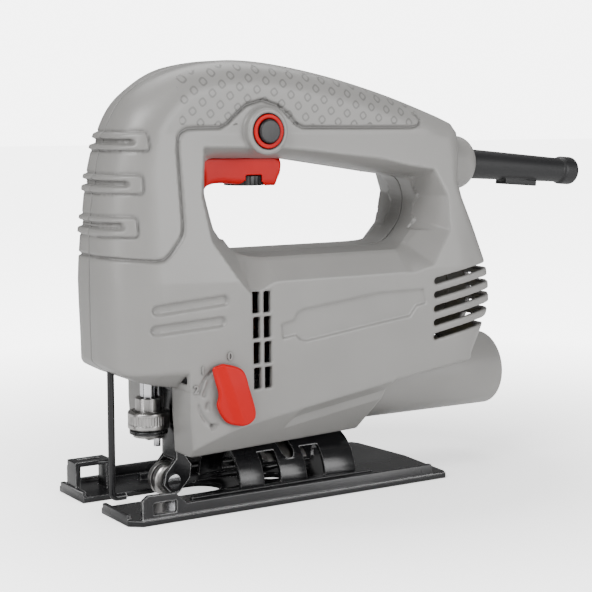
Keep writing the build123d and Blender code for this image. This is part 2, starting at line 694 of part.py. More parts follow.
with BuildPart() as shoe:
    with BuildSketch(level_plane(0)):
        with BuildLine():
            Polyline((0, -34), (5, -SHOE_HALF), (SHOE_LENGTH + 2, -SHOE_HALF), (SHOE_LENGTH + 4, -34),
                     (SHOE_LENGTH + 7, 0), (SHOE_LENGTH + 4, 34), (SHOE_LENGTH + 2, SHOE_HALF),
                     (5, SHOE_HALF), (0, 34), close=True)
        make_face()
        with Locations((22, 0)):
            Rectangle(50, 2 * NOTCH_HALF, mode=Mode.SUBTRACT)
        with Locations((44, 0)):
            SlotOverall(34, 2 * NOTCH_HALF + 1.2, mode=Mode.SUBTRACT)
        with Locations((TILT_SCREW, 0)):
            Circle(6.0, mode=Mode.SUBTRACT)
    extrude(amount=SHOE_THICK)
    # upright walls with the parallel fence's window at the front
    for side in (-1, 1):
        with BuildSketch(side_plane(side * WALL_Y[0])):
            with BuildLine():
                Polyline((5, 1), (5, 10.6), (7.4, 12.4), (20, 12.0), (25.0, 7.4), (150, 7.4), (150.8, 6.4),
                         (150.8, 1), close=True)
            make_face()
            with Locations((15.2, 6.6)):
                Rectangle(10.6, 5.0, mode=Mode.SUBTRACT)
        extrude(amount=-side * (WALL_Y[1] - WALL_Y[0]))
        # stiffening rails on both sides of the tunnel
        low, high = sorted((side * 22.6, side * 25.4))
        add(block((34, 126), (low, high), (1, 5.6)).part)
        # turned-up front lip of each prong
        low, high = sorted((side * (NOTCH_HALF + 1), side * 33))
        add(block((0, 2.0), (low, high), (1, 4.6)).part)
    # bridge that the fence bar passes under on the far side
    for leg in ((1.0, 3.4), (15.6, 18.0)):
        add(block(leg, (18.5, 27.5), (1, 15.6)).part)
    add(block((1.0, 18.0), (18.5, 27.5), (13.4, 15.6)).part)
    add(block((4.5, 14.5), (21.5, 24.5), (13.0, 16.0)).part, mode=Mode.SUBTRACT)
save(shoe, "base_plate")

# half-round tunnel that the housing's keel rocks on when the shoe is tilted
with BuildPart() as tunnel:
    with BuildSketch(cross_plane(61.0)):
        with Locations((0, TUNNEL_AXIS_Z)):
            Circle(TUNNEL_R - 0.4)
            Circle(TUNNEL_R - 2.2, mode=Mode.SUBTRACT)
        with Locations((0, -50 + SHOE_THICK)):
            Rectangle(100, 100, mode=Mode.SUBTRACT)
    extrude(amount=60.0)
    for start, end in ((73.0, 81.5), (95.0, 104.5)):
        for side in (-1, 1):
            low, high = sorted((side * 8.5, side * 25))
            add(block((start, end), (low, high), (4.4, 17.5)).part, mode=Mode.SUBTRACT)
    # arc slot that lets the clamp screw swing with the tilt
    with BuildSketch(level_plane(5)):
        with Locations((TILT_SCREW, 0)):
            SlotOverall(32, 6.4, rotation=90)
    extrude(amount=25, mode=Mode.SUBTRACT)
save(tunnel, "tilt_tunnel")

# clamp shoe and screw that lock the tilt, inside the tunnel
with BuildPart() as tilt_clamp:
    with BuildSketch(cross_plane(TILT_SCREW - 10)):
        with Locations((0, TUNNEL_AXIS_Z)):
            Circle(TUNNEL_R - 2.5)
            Circle(TUNNEL_R - 5.5, mode=Mode.SUBTRACT)
        with Locations((0, -50 + 13.0)):
            Rectangle(100, 100, mode=Mode.SUBTRACT)
    extrude(amount=20.0)
    add(post(TILT_SCREW, 5, 40, 2.6).part, mode=Mode.SUBTRACT)
save(tilt_clamp, "tilt_clamp_shoe")

with BuildPart() as tilt_screw:
    add(post(TILT_SCREW, 13.0, 32.0, 2.5).part)
    with BuildSketch(level_plane(10.6)):
        with Locations((TILT_SCREW, 0)):
            RegularPolygon(4.6, 6)
            RegularPolygon(2.2, 6, mode=Mode.SUBTRACT)
    extrude(amount=4.0)
save(tilt_screw, "tilt_clamp_screw")
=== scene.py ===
"""Looks of the orbital jigsaw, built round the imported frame. Units are metres.

The housing halves, lever, trigger, dust tube, sleeve, clamp collar and position numbers are modelled
here as closed meshes. The other pieces keep their CAD shape, some with bevelled edges. Every piece
has a procedural material. Shapes are worked out in mm: d behind the nose, y across, z up.
"""
import json
import math

import bmesh
import bpy
import numpy as np
from mathutils import Matrix, Vector


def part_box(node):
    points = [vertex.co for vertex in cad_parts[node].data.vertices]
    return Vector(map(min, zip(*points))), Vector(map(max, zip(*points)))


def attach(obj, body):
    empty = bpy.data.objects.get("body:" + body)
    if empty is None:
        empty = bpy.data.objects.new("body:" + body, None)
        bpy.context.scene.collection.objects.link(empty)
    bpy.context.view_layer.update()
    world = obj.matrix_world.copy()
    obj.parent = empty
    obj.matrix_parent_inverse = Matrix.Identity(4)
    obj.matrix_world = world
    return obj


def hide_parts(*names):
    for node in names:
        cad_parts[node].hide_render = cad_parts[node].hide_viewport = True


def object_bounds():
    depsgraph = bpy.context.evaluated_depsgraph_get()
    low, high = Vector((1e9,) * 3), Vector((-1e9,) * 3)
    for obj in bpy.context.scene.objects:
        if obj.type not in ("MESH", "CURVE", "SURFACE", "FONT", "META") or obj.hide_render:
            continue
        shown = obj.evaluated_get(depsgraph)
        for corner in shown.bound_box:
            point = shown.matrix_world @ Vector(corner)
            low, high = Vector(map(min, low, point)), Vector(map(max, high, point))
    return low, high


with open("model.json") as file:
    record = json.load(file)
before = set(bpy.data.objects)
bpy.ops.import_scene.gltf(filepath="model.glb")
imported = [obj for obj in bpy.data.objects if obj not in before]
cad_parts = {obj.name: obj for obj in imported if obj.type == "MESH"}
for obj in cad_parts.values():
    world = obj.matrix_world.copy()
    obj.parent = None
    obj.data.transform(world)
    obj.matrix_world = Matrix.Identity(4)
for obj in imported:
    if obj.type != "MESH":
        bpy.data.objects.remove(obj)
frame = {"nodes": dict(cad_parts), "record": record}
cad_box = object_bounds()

MM = 0.001
NODES = frame["nodes"]
NOSE = cad_box[0][0] / MM  # front of the nose, mm in the CAD frame
HALF_WIDTH = 33.0  # half width of the motor body, mm
WALL = 2.8  # thickness of the housing's shell, mm

CAMERA_OFFSET = (-0.2585, -0.5649, 0.1660)  # from the nose, the middle plane and the floor
CAMERA_AZIMUTH = math.radians(-32.5)
CAMERA_PITCH = math.radians(7.05)
CAMERA_LENS = 91.4
WORLD_LIGHT = 0.2  # world strength that lights the object
WORLD_SEEN = 6.0  # world strength that the camera sees
FLOOR_GLOW = {"From Min": 0.09, "From Max": 0.42, "To Min": 1.1, "To Max": 5.0}


# ---------------------------------------------------------------- camera, light and floor
def make_camera():
    """Camera at the photograph's viewing angle, ahead of the nose on the left."""
    data = bpy.data.cameras.new("camera")
    data.sensor_width = 36.0
    data.lens = CAMERA_LENS
    data.clip_start = 0.01
    camera = bpy.data.objects.new("camera", data)
    bpy.context.scene.collection.objects.link(camera)
    camera.location = (cad_box[0][0] + CAMERA_OFFSET[0], CAMERA_OFFSET[1], CAMERA_OFFSET[2])
    level = math.cos(CAMERA_PITCH)
    look = Vector((-math.sin(CAMERA_AZIMUTH) * level, math.cos(CAMERA_AZIMUTH) * level,
                   -math.sin(CAMERA_PITCH)))
    camera.rotation_euler = look.to_track_quat("-Z", "Y").to_euler()
    bpy.context.scene.camera = camera


def math_node(tree, operation, a, b=None):
    """Output of a new Math node. Each operand is a number or a socket."""
    node = tree.nodes.new("ShaderNodeMath")
    node.operation = operation
    for socket, value in zip(node.inputs, (a, b)):
        if value is None:
            continue
        if isinstance(value, (int, float)):
            socket.default_value = value
        else:
            tree.links.new(value, socket)
    return node.outputs[0]


def area_light(name, place, target, size, power):
    data = bpy.data.lights.new(name, "AREA")
    data.shape = "RECTANGLE"
    data.size, data.size_y = size
    data.energy = power
    lamp = bpy.data.objects.new(name, data)
    bpy.context.scene.collection.objects.link(lamp)
    lamp.location = place
    lamp.rotation_euler = (Vector(target) - Vector(place)).to_track_quat("-Z", "Y").to_euler()


def make_lights():
    area_light("key", (-0.75, -0.35, 0.80), (0, 0, 0.10), (0.45, 0.35), 8.0)
    area_light("side_fill", (0.35, -1.10, 0.35), (0.02, 0, 0.08), (0.9, 0.5), 11.0)
    area_light("front_strip", (-0.95, -0.20, 0.25), (-0.1, 0, 0.10), (0.10, 0.7), 2.6)
    area_light("top", (0.15, 0.35, 0.95), (0, 0, 0.05), (0.9, 0.6), 7.0)


def make_world():
    """White world, brighter to the camera than to the object."""
    world = bpy.data.worlds.new("studio")
    world.use_nodes = True
    tree = world.node_tree
    background = tree.nodes["Background"]
    background.inputs["Color"].default_value = (1, 1, 1, 1)
    seen = tree.nodes.new("ShaderNodeLightPath")
    strength = tree.nodes.new("ShaderNodeMapRange")
    strength.inputs["To Min"].default_value = WORLD_LIGHT
    strength.inputs["To Max"].default_value = WORLD_SEEN
    tree.links.new(seen.outputs["Is Camera Ray"], strength.inputs["Value"])
    tree.links.new(strength.outputs["Result"], background.inputs["Strength"])
    bpy.context.scene.world = world


def floor_paper():
    """Matt white that also glows, to camera rays only, more the further it is from the object."""
    material = bpy.data.materials.new("floor_paper")
    material.use_nodes = True
    tree = material.node_tree
    shader = tree.nodes["Principled BSDF"]
    shader.inputs["Base Color"].default_value = (0.97, 0.97, 0.97, 1)
    shader.inputs["Roughness"].default_value = 0.9
    shader.inputs["Emission Color"].default_value = (1, 1, 1, 1)
    place = tree.nodes.new("ShaderNodeTexCoord")
    far = tree.nodes.new("ShaderNodeVectorMath")
    far.operation = "LENGTH"
    tree.links.new(place.outputs["Object"], far.inputs[0])
    glow = tree.nodes.new("ShaderNodeMapRange")
    for socket, value in FLOOR_GLOW.items():
        glow.inputs[socket].default_value = value
    tree.links.new(far.outputs["Value"], glow.inputs["Value"])
    eye = tree.nodes.new("ShaderNodeLightPath")
    seen = math_node(tree, "MULTIPLY", glow.outputs["Result"], eye.outputs["Is Camera Ray"])
    tree.links.new(seen, shader.inputs["Emission Strength"])
    return material


def make_floor():
    bm = bmesh.new()
    bmesh.ops.create_grid(bm, x_segments=8, y_segments=8, size=6.0)
    mesh = bpy.data.meshes.new("studio_floor")
    bm.to_mesh(mesh)
    bm.free()
    floor = bpy.data.objects.new("studio_floor", mesh)
    bpy.context.scene.collection.objects.link(floor)
    floor.data.materials.append(floor_paper())


make_camera()
make_lights()
make_world()
make_floor()


# ---------------------------------------------------------------- implicit shapes
# Fields are negative inside. Arguments are arrays in mm: d behind the nose, y, z.
PATH_STEPS = 6  # points on each stretch of a smooth path
CORNER_STEPS = 4  # stretches round each rolled corner


def smooth_path(corners, closed=True):
    """Catmull-Rom line through the corners."""
    points = np.array(corners, float)
    if closed:
        points = np.vstack([points[-1], points, points[0], points[1]])
    else:
        points = np.vstack([2 * points[0] - points[1], points, 2 * points[-1] - points[-2]])
    line = []
    for a, b, c, e in zip(points, points[1:], points[2:], points[3:]):
        for t in np.arange(PATH_STEPS) / PATH_STEPS:
            line.append(0.5 * (2 * b + (c - a) * t + (2 * a - 5 * b + 4 * c - e) * t**2
                               + (3 * b - a - 3 * c + e) * t**3))
    if not closed:
        line.append(points[-2])
    return np.array(line)


def rounded(corners, radius):
    """Corner points of a closed loop, each corner rolled by the radius."""
    loop = [np.array(c, float) for c in corners]
    line = []
    for before, here, after in zip(loop[-1:] + loop[:-1], loop, loop[1:] + loop[:1]):
        a, b = before - here, after - here
        la, lb = np.linalg.norm(a), np.linalg.norm(b)
        reach = min(radius, 0.45 * la, 0.45 * lb)
        for t in np.linspace(0, 1, CORNER_STEPS + 1):
            line.append(here + a / la * reach * (1 - t) ** 2 + b / lb * reach * t**2)
    return line


def segment_distance(u, v, line, closed):
    """Distance from points (u, v) to a polyline, and whether they lie inside it."""
    ends = np.roll(line, -1, axis=0) if closed else line[1:]
    starts = line if closed else line[:-1]
    best = np.full(np.broadcast(u, v).shape, 1e9)
    inside = np.zeros(best.shape, bool)
    for (ax, ay), (bx, by) in zip(starts, ends):
        ex, ey = bx - ax, by - ay
        t = np.clip(((u - ax) * ex + (v - ay) * ey) / max(ex * ex + ey * ey, 1e-12), 0, 1)
        best = np.minimum(best, (u - ax - t * ex) ** 2 + (v - ay - t * ey) ** 2)
        if closed:
            crosses = (ay > v) != (by > v)
            if ey:
                inside ^= crosses & (u < ax + (v - ay) * ex / ey)
    return np.sqrt(best), inside


def outline_field(u, v, line):
    """Signed distance from a closed outline."""
    distance, inside = segment_distance(u, v, line, True)
    return np.where(inside, -distance, distance)


def round_max(a, b, radius):
    """Intersection with a rolled edge."""
    a1, b1 = np.maximum(a + radius, 0), np.maximum(b + radius, 0)
    return np.minimum(np.maximum(a, b), -radius) + np.sqrt(a1 * a1 + b1 * b1)


def round_min(a, b, radius):
    """Union with a rolled inner corner."""
    return -round_max(-a, -b, radius)


def step_up(t, low, high):
    """Smooth step from 0 at low to 1 at high, which may lie below low."""
    t = np.clip((t - low) / (high - low), 0, 1)
    return t * t * (3 - 2 * t)


def cylinder_y(d, z, where, radius):
    """Endless cylinder along y, round the place (d, z)."""
    return np.hypot(d - where[0], z - where[1]) - radius


def slab(t, low, high):
    return np.maximum(low - t, t - high)


# side silhouette of the nose, grip and back, carried straight down below the body
CROWN = smooth_path([
    (0.8, 62.6), (0.6, 72.0), (0.0, 90.0), (0.0, 106.0), (1.2, 124.0), (3.7, 141.5), (8.3, 158.0),
    (14.6, 169.2), (24.5, 177.2), (37.0, 183.0), (52.0, 186.2), (66.0, 187.0), (85.0, 185.4),
    (112.0, 180.6), (141.0, 173.2), (167.0, 164.8), (178.0, 160.6)], closed=False)
CROWN = np.vstack([[(1.2, -40.0)], CROWN, [
    (181.0, 156.0), (178.5, 146.0), (175.8, 134.0), (177.2, 127.0), (182.0, 114.0), (188.6, 94.0),
    (190.0, 86.0), (190.4, 79.0), (189.2, 73.0), (185.0, 64.5), (179.5, 54.5), (172.0, -40.0)]])
# underside: nose floor, front block, keel and the low edge above the dust tube
UNDERSIDE = np.array([
    (-40.0, 86.6), (1.4, 62.2), (5.5, 58.8), (12.5, 55.2), (21.4, 52.8), (31.5, 51.0),
    (31.5, 40.0), (32.6, 22.8), (60.0, 22.8), (123.0, 23.2), (130.0, 38.0), (133.0, 46.6),
    (150.0, 48.6), (177.0, 51.6), (260.0, 58.0), (260.0, 300.0), (-40.0, 300.0)])
OPENING = np.array(rounded([
    (51.0, 118.5), (47.4, 132.0), (47.8, 145.8), (94.0, 145.0), (142.0, 137.8), (156.5, 135.8),
    (160.4, 127.0), (158.6, 115.5), (149.5, 106.0), (141.0, 104.3), (66.0, 104.3), (58.0, 107.6)],
    5.0))
# convex outline round the opening, from which the flared chamfer rises
FLARE_EDGE = [
    (51.6, 117.5), (47.4, 132.0), (47.8, 145.8), (94.0, 145.0), (142.0, 137.8), (157.0, 136.0),
    (160.4, 127.0), (158.6, 115.5), (149.5, 105.4), (141.0, 103.9), (64.0, 103.9)]


def convex_field(u, v, corners):
    """Distance from a convex outline given clockwise, with mitred corners outside it."""
    field = np.full(np.broadcast(u, v).shape, -1e3)
    for (ax, ay), (bx, by) in zip(corners, corners[1:] + corners[:1]):
        length = math.hypot(bx - ax, by - ay)
        field = np.maximum(field, ((v - ay) * (bx - ax) - (u - ax) * (by - ay)) / length)
    return field


def body_half_width(d, z):
    """Half width of the housing at a place on its side."""
    opening = convex_field(d, z, FLARE_EDGE)
    low = 27.0 + 6.0 * step_up(d, 10.0, 58.0)
    low = low - 2.2 * step_up(d, 168.0, 192.0)
    high = 20.6 + 0.6 * step_up(d, 80.0, 20.0)
    side = low + (high - low) * np.clip((z - 96.0) / 60.0, 0, 1)
    # chamfer that flares out round the grip opening
    under = step_up(z, 118.0, 107.0) * step_up(d, 58.0, 72.0) * step_up(d, 152.0, 138.0)
    back = step_up(d, 130.0, 150.0)
    start = 15.0 + 9.0 * under
    slope = 1.35 - 0.35 * under + 0.65 * back * (1 - under)
    flare = start + slope * np.maximum(opening, 0)
    side = round_min(side, flare, 0.6)
    # lower edges: bevelled front block, and a narrow band above the keel
    edge = 31.0 + 0.163 * (d - 32.0)
    edge = np.where(d > 72, 37.5 + 0.15 * (d - 72.0), edge)
    drop = np.maximum(edge - z, 0)
    block = HALF_WIDTH - drop * 0.72
    keel = HALF_WIDTH - np.minimum(drop, 4.2) * 1.15 - np.maximum(drop - 4.2, 0) * 0.26
    crease = (d - (73.0 + 0.8 * (z - 25.0))) / 1.28
    front_part = np.where(crease < 0, block, block - 6.0 * crease)
    lower = np.maximum(front_part, np.minimum(keel, block))
    return round_min(side, lower, 0.8)


LATTICE = 0.3  # spacing of the side-view lattice, mm
LATTICE_D = np.arange(-4.0, 206.0, LATTICE)
LATTICE_Z = np.arange(17.0, 193.0, LATTICE)


def side_maps():
    """Fields that depend only on the side view, worked out once on a fine lattice."""
    d, z = LATTICE_D[:, None], LATTICE_Z[None, :]
    opening = outline_field(d, z, OPENING)
    width = body_half_width(d, z)
    slope = np.gradient(width, LATTICE)
    steep = np.sqrt(1 + np.minimum(slope[0] ** 2 + slope[1] ** 2, 9.0))
    return {"crown": outline_field(d, z, CROWN), "floor": outline_field(d, z, UNDERSIDE),
            "opening": opening, "width": width, "steep": steep, "relief": relief(d, z),
            "marks": selector_marks(d, z)}


def look_up(maps, names, d, z):
    """Bilinear values of several maps at the same places."""
    u = np.clip((d - LATTICE_D[0]) / LATTICE, 0, len(LATTICE_D) - 1.001)
    v = np.clip((z - LATTICE_Z[0]) / LATTICE, 0, len(LATTICE_Z) - 1.001)
    i, j = u.astype(int), v.astype(int)
    p, q = u - i, v - j
    found = []
    for name in names:
        m = maps[name]
        found.append((m[i, j] * (1 - p) + m[i + 1, j] * p) * (1 - q)
                     + (m[i, j + 1] * (1 - p) + m[i + 1, j + 1] * p) * q)
    return found


def outer_field(d, y, z):
    """Housing without its surface details, and the grip opening's field that they reuse."""
    crown, floor_side, opening, width, steep, sunk = look_up(
        MAPS, ("crown", "floor", "opening", "width", "steep", "relief"), d, z)
    wide = (np.abs(y) - width) / steep
    # edge radius: broad at the nose and over the grip, tighter at the back
    radius = 3.0 + 9.5 * step_up(z, 120.0, 165.0)
    nose = step_up(d, 40.0, 18.0) * (1 - 0.35 * step_up(z, 120.0, 160.0))
    radius = radius + (21.0 - radius) * nose
    radius = radius + (6.0 - radius) * step_up(d, 165.0, 178.0) * step_up(z, 160.0, 140.0)
    field = round_max(crown, wide, radius)
    # bevel under the nose, then the flat underside
    ahead = step_up(d, 31.4, 31.0)
    bevel = (56.0 - z) * 0.8 + (field + 4.0) * 0.6
    field = np.where(ahead > 0.5, round_max(field, bevel, 1.2), field)
    field = round_max(field, floor_side, 1.0)
    field = round_max(field, -opening, np.where(z > 112, 5.0, 1.5))
    # cord boss, blended into the back of the grip
    boss = np.hypot(y, z - 141.4) - (13.2 - 0.9 * step_up(d, 180.0, 197.0))
    boss = round_max(boss, np.maximum(168.0 - d, d - 197.2), 6.5)
    return round_min(field, boss, 3.5), opening, sunk


# ---------------------------------------------------------------- surface details, as depth maps
# parting groove round the grip shell, from the nose to the back
GROOVE = np.array([
    (-2.0, 106.8), (10.0, 105.9), (18.0, 105.3), (21.5, 105.8), (24.0, 107.8), (28.8, 113.6),
    (30.1, 116.4), (30.6, 120.0), (30.6, 150.0), (31.1, 154.4), (32.6, 157.0), (35.2, 158.4),
    (40.0, 158.7), (51.0, 158.8), (54.6, 160.6), (58.6, 164.2), (63.8, 168.2), (71.5, 170.2),
    (79.6, 167.8), (84.8, 164.0), (88.2, 160.4), (92.0, 158.7), (120.0, 158.5), (150.0, 158.4),
    (154.0, 159.2), (155.6, 161.4), (153.6, 164.2)])
# tongues on the nose, each as (low z, high z, end d) outside and inside
NOSE_RIBS = [((149.9, 157.0, 17.9), (152.2, 154.3, 13.0)),
             ((132.7, 140.0, 14.3), (135.4, 137.6, 9.7)),
             ((115.3, 123.0, 11.4), (118.0, 120.8, 7.0))]
# long sunk ovals under the tongues, and the selector's small symbols
PILLS = [((18.0, 85.4), (46.0, 88.3)), ((17.3, 77.2), (44.8, 79.5))]
SYMBOLS = [((39.4, 55.6), (38.6, 52.6), 0.9), ((37.7, 51.0), (37.3, 49.4), 0.9),
           ((38.9, 45.6), (38.9, 43.8), 0.9), ((40.6, 36.6), (43.0, 36.2), 0.5),
           ((40.6, 36.6), (40.6, 34.6), 0.5)]
# blank badge recess
BADGE = np.array([
    (73.4, 76.5), (79.4, 77.7), (81.1, 80.8), (84.0, 82.0), (124.0, 86.6), (148.1, 86.7),
    (149.5, 80.3), (144.3, 79.4), (140.6, 75.0), (124.0, 73.1), (85.8, 68.3), (82.9, 69.1),
    (80.6, 71.2), (74.0, 70.3)])


def selector_marks(d, z):
    """Sunk marks on the left side only."""
    depth = 0.0
    # curved groove round the positions, and the small orbit symbols inside it
    off, angle = np.hypot(d - 49.0, z - 47.5), np.degrees(np.arctan2(z - 47.5, 49.0 - d))
    for low, high in ((8.0, 62.0), (-62.0, -6.0)):
        taper = 0.75 * np.sqrt(np.clip(1 - ((angle - (low + high) / 2) / (0.5 * (high - low))) ** 2, 0, 1))
        depth = depth + 0.7 * step_up(taper - np.abs(off - 14.3), -0.2, 0.3) * (taper > 0)
    for start, end, wide in SYMBOLS:
        symbol, _ = segment_distance(d, z, np.array([start, end]), False)
        depth = depth + 0.7 * step_up(wide - symbol, -0.3, 0.3)
    return depth


def tongue(d, z, low, high, end):
    """Horizontal tongue with a squared end, open towards the nose."""
    return round_max(d - end, slab(z, low, high), 1.1)


def relief(d, z):
    """How far the side surface is sunk (positive) or raised (negative), mm."""
    groove, _ = segment_distance(d, z, GROOVE, False)
    depth = 1.3 * step_up(-groove, -1.0, -0.25)
    for outer_rib, inner_rib in NOSE_RIBS:
        ring = np.maximum(tongue(d, z, *outer_rib), -tongue(d, z, *inner_rib))
        depth = depth - 1.2 * step_up(-ring, -0.1, 0.5)
        depth = depth + 0.6 * step_up(-tongue(d, z, *inner_rib), -0.3, 0.3)
        depth = depth + 0.5 * step_up(-np.abs(ring - 0.5), -0.6, -0.1)
    for start, end in PILLS:
        pill, _ = segment_distance(d, z, np.array([start, end]), False)
        depth = depth + 1.3 * step_up(-pill, -2.5, -1.5)
    badge = outline_field(d, z, BADGE)
    return depth + 0.8 * step_up(-badge, -0.3, 0.3)


def box_centre(node):
    """Middle of a CAD node in the side view, as (d, z) in mm."""
    low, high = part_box(node)
    return (low.x + high.x) / 2 / MM - NOSE, (low.z + high.z) / 2 / MM


MAPS = side_maps()
LOCK = box_centre("lock_ring")
DIAL = box_centre("speed_dial")[0]
PLUNGER = box_centre("plunger_rod")[0]
CAM_FLAT = 4.7  # the flat on the selector's cam lies this far ahead of its axis
LEVER = (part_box("selector_cam_shaft")[0].x / MM - NOSE + CAM_FLAT,
         box_centre("selector_cam_shaft")[1])
SCREWS = [(13.0, 67.0), (14.5, 150.0), (44.0, 172.0), (108.0, 168.0), (169.0, 118.0),
          (150.0, 95.0), (62.0, 31.0)]
GUARD_WIRE = 9.3  # d of the guard wire and of the tilt screw
TILT_SCREW = 88.0
TUBE_Z = 41.5  # height of the dust tube's axis
SLEEVE_TURN = math.radians(4.2)
SLEEVE_ROOT = (182.0, 141.8)
SLEEVE_RADII = (7.4, 5.9)  # at the root and at the tip
WINDOW_START = (61.6, 54.45)  # centre of the lowest front window, (d, z)
WINDOW_PITCH = (5.3, 10.7)
WINDOW_HALF = (1.75, 4.5)
WINDOW_LEAN = 0.02
REAR_SLOT_START = (172.0, 67.5)  # centre of the lowest rear slot, (d, z)
REAR_SLOT_PITCH = 6.3
REAR_SLOT_TILT = math.radians(10.0)


def sleeve_frame(d, y, z):
    """Distance along the cord sleeve, distance off its axis, and height above the axis."""
    du, dz = d - SLEEVE_ROOT[0], z - SLEEVE_ROOT[1]
    along = du * math.cos(SLEEVE_TURN) - dz * math.sin(SLEEVE_TURN)
    up = du * math.sin(SLEEVE_TURN) + dz * math.cos(SLEEVE_TURN)
    return along, np.hypot(y, up), up


def windows(d, y, z):
    """Two columns of cooling windows above the front block, and the tilted slots at the rear."""
    found = np.full(np.broadcast(d, y, z).shape, 1e3)
    for row in range(4):
        for column in range(2):
            centre_z = WINDOW_START[1] + WINDOW_PITCH[1] * row
            centre_d = WINDOW_START[0] + WINDOW_PITCH[0] * column - WINDOW_LEAN * (centre_z - 54.0)
            hole = np.maximum(np.abs(d - centre_d) - WINDOW_HALF[0],
                              np.abs(z - centre_z) - WINDOW_HALF[1])
            found = np.minimum(found, np.maximum(hole, 24.0 - np.abs(y)))
    cos, sin = math.cos(REAR_SLOT_TILT), math.sin(REAR_SLOT_TILT)
    for row in range(5):
        u, v = d - REAR_SLOT_START[0], z - (REAR_SLOT_START[1] + REAR_SLOT_PITCH * row)
        along, across = u * cos + v * sin, v * cos - u * sin
        hole = np.hypot(np.maximum(np.abs(along) - 16.6, 0), across) - 1.5
        found = np.minimum(found, np.maximum(hole, 14.0 - np.abs(y)))
    return found


def sleeve_seat(d, y, z):
    """Hole for the cord sleeve, wider at its root."""
    along, off, _ = sleeve_frame(d, y, z)
    seat = np.maximum(off - 7.8, along - 40.0)
    seat = np.minimum(seat, np.maximum(off - 9.7, along - 2.6))
    return np.maximum(seat, -6.0 - along)


def shared_cuts(d, y, z):
    """What is cut from both halves."""
    tube = np.maximum(np.hypot(y, z - TUBE_Z) - 17.9, 124.0 - d)
    throat = np.maximum(np.hypot(y, z - 34.5) - 12.0, np.maximum(112.0 - d, d - 132.0))
    trigger_slot = round_max(np.maximum(slab(d, 48.9, 88.3), slab(z, 128.0, 153.0)),
                             np.abs(y) - 9.2, 0.3)
    channel = round_max(np.maximum(slab(d, 26.0, 47.5), slab(z, 18.0, 60.0)),
                        np.abs(y) - 12.5, 2.0)
    rod_hole = np.maximum(np.hypot(d - PLUNGER, y) - 9.5, slab(z, 46.0, 61.0))
    wire_hole = np.maximum(np.hypot(d - GUARD_WIRE, y) - 1.9, slab(z, 50.0, 63.0))
    screw_hole = np.maximum(np.hypot(d - TILT_SCREW, y) - 2.9, z - 36.0)
    cuts = windows(d, y, z)
    for cut in (tube, throat, trigger_slot, channel, rod_hole, wire_hole, screw_hole,
                sleeve_seat(d, y, z)):
        cuts = np.minimum(cuts, cut)
    return cuts


def left_cuts(d, y, z):
    """Bores of the selector and of the lock, through the left half."""
    bore = np.maximum(cylinder_y(d, z, LEVER, 4.2), y + 5.0)
    bore = np.minimum(bore, np.maximum(cylinder_y(d, z, LOCK, 5.4), y + 9.0))
    return np.minimum(bore, np.maximum(cylinder_y(d, z, LOCK, 7.5), y + 22.0))


def add_screw_posts(shell, base, d, y, z, side):
    """Screw posts: counterbored and open on the right, blind on the left."""
    radius, reach = (5.2, 40.0) if side > 0 else (3.8, 16.0)
    for where in SCREWS:
        post = np.maximum(cylinder_y(d, z, where, radius), np.abs(y) - reach)
        shell = np.minimum(shell, np.maximum(post, base + 0.6))
        if side > 0:
            shell = np.maximum(shell, -cylinder_y(d, z, where, 2.0))
            shell = np.maximum(shell, -np.maximum(cylinder_y(d, z, where, 3.5), 8.0 - y))
        else:
            shell = np.maximum(shell, -np.maximum(cylinder_y(d, z, where, 1.7), -14.0 - y))
    return shell


def housing_field(side):
    """Field of one moulded half; side is -1 for the left."""
    def field(d, y, z):
        base, opening, sunk = outer_field(d, y, z)
        skin = base + sunk * step_up(opening, 0.0, 1.0)
        skin = round_max(skin, 0.1 - d, 0.5)
        if side < 0:
            skin = skin + look_up(MAPS, ("marks",), d, z)[0] * (y < -20)
            boss = round_max(cylinder_y(d, z, LOCK, 9.9), slab(y, -25.0, -12.0), 1.2)
            skin = round_min(skin, boss, 1.5)
        shell = np.maximum(skin, -(base + WALL))
        shell = add_screw_posts(shell, base, d, y, z, side)
        cuts = shared_cuts(d, y, z)
        if side < 0:
            cuts = np.minimum(cuts, left_cuts(d, y, z))
        shell = round_max(shell, -cuts, 0.5)
        return round_max(shell, -side * y + 0.05, 0.45)
    return field


# ---------------------------------------------------------------- meshes from fields
def link_mesh(name, points, faces):
    """Smooth-shaded object from arrays of points and of faces that all have as many sides."""
    mesh = bpy.data.meshes.new(name)
    mesh.vertices.add(len(points))
    mesh.vertices.foreach_set("co", np.asarray(points, np.float32).ravel())
    faces = np.asarray(faces, np.int32)
    count, sides = faces.shape
    mesh.loops.add(count * sides)
    mesh.loops.foreach_set("vertex_index", faces.ravel())
    mesh.polygons.add(count)
    mesh.polygons.foreach_set("loop_start", np.arange(count, dtype=np.int32) * sides)
    mesh.polygons.foreach_set("use_smooth", np.full(count, True))
    mesh.update(calc_edges=True)
    mesh.validate()
    piece = bpy.data.objects.new(name, mesh)
    bpy.context.scene.collection.objects.link(piece)
    return piece


PROBE = 0.05  # reach of the finite differences, mm


def gradient(field, points):
    moves = np.eye(3) * PROBE
    columns = [(field(*(points + m).T) - field(*(points - m).T)) / (2 * PROBE) for m in moves]
    return np.stack(columns, axis=1)


def settle(field, points, step):
    """Moves points onto the zero surface, in two short Newton moves."""
    for _ in range(2):
        slope = gradient(field, points)
        size = np.maximum((slope**2).sum(1), 0.05)
        move = -slope * (field(*points.T) / size)[:, None]
        length = np.maximum(np.linalg.norm(move, axis=1), 1e-9)
        points = points + move * np.minimum(1, 0.4 * step / length)[:, None]
    return points


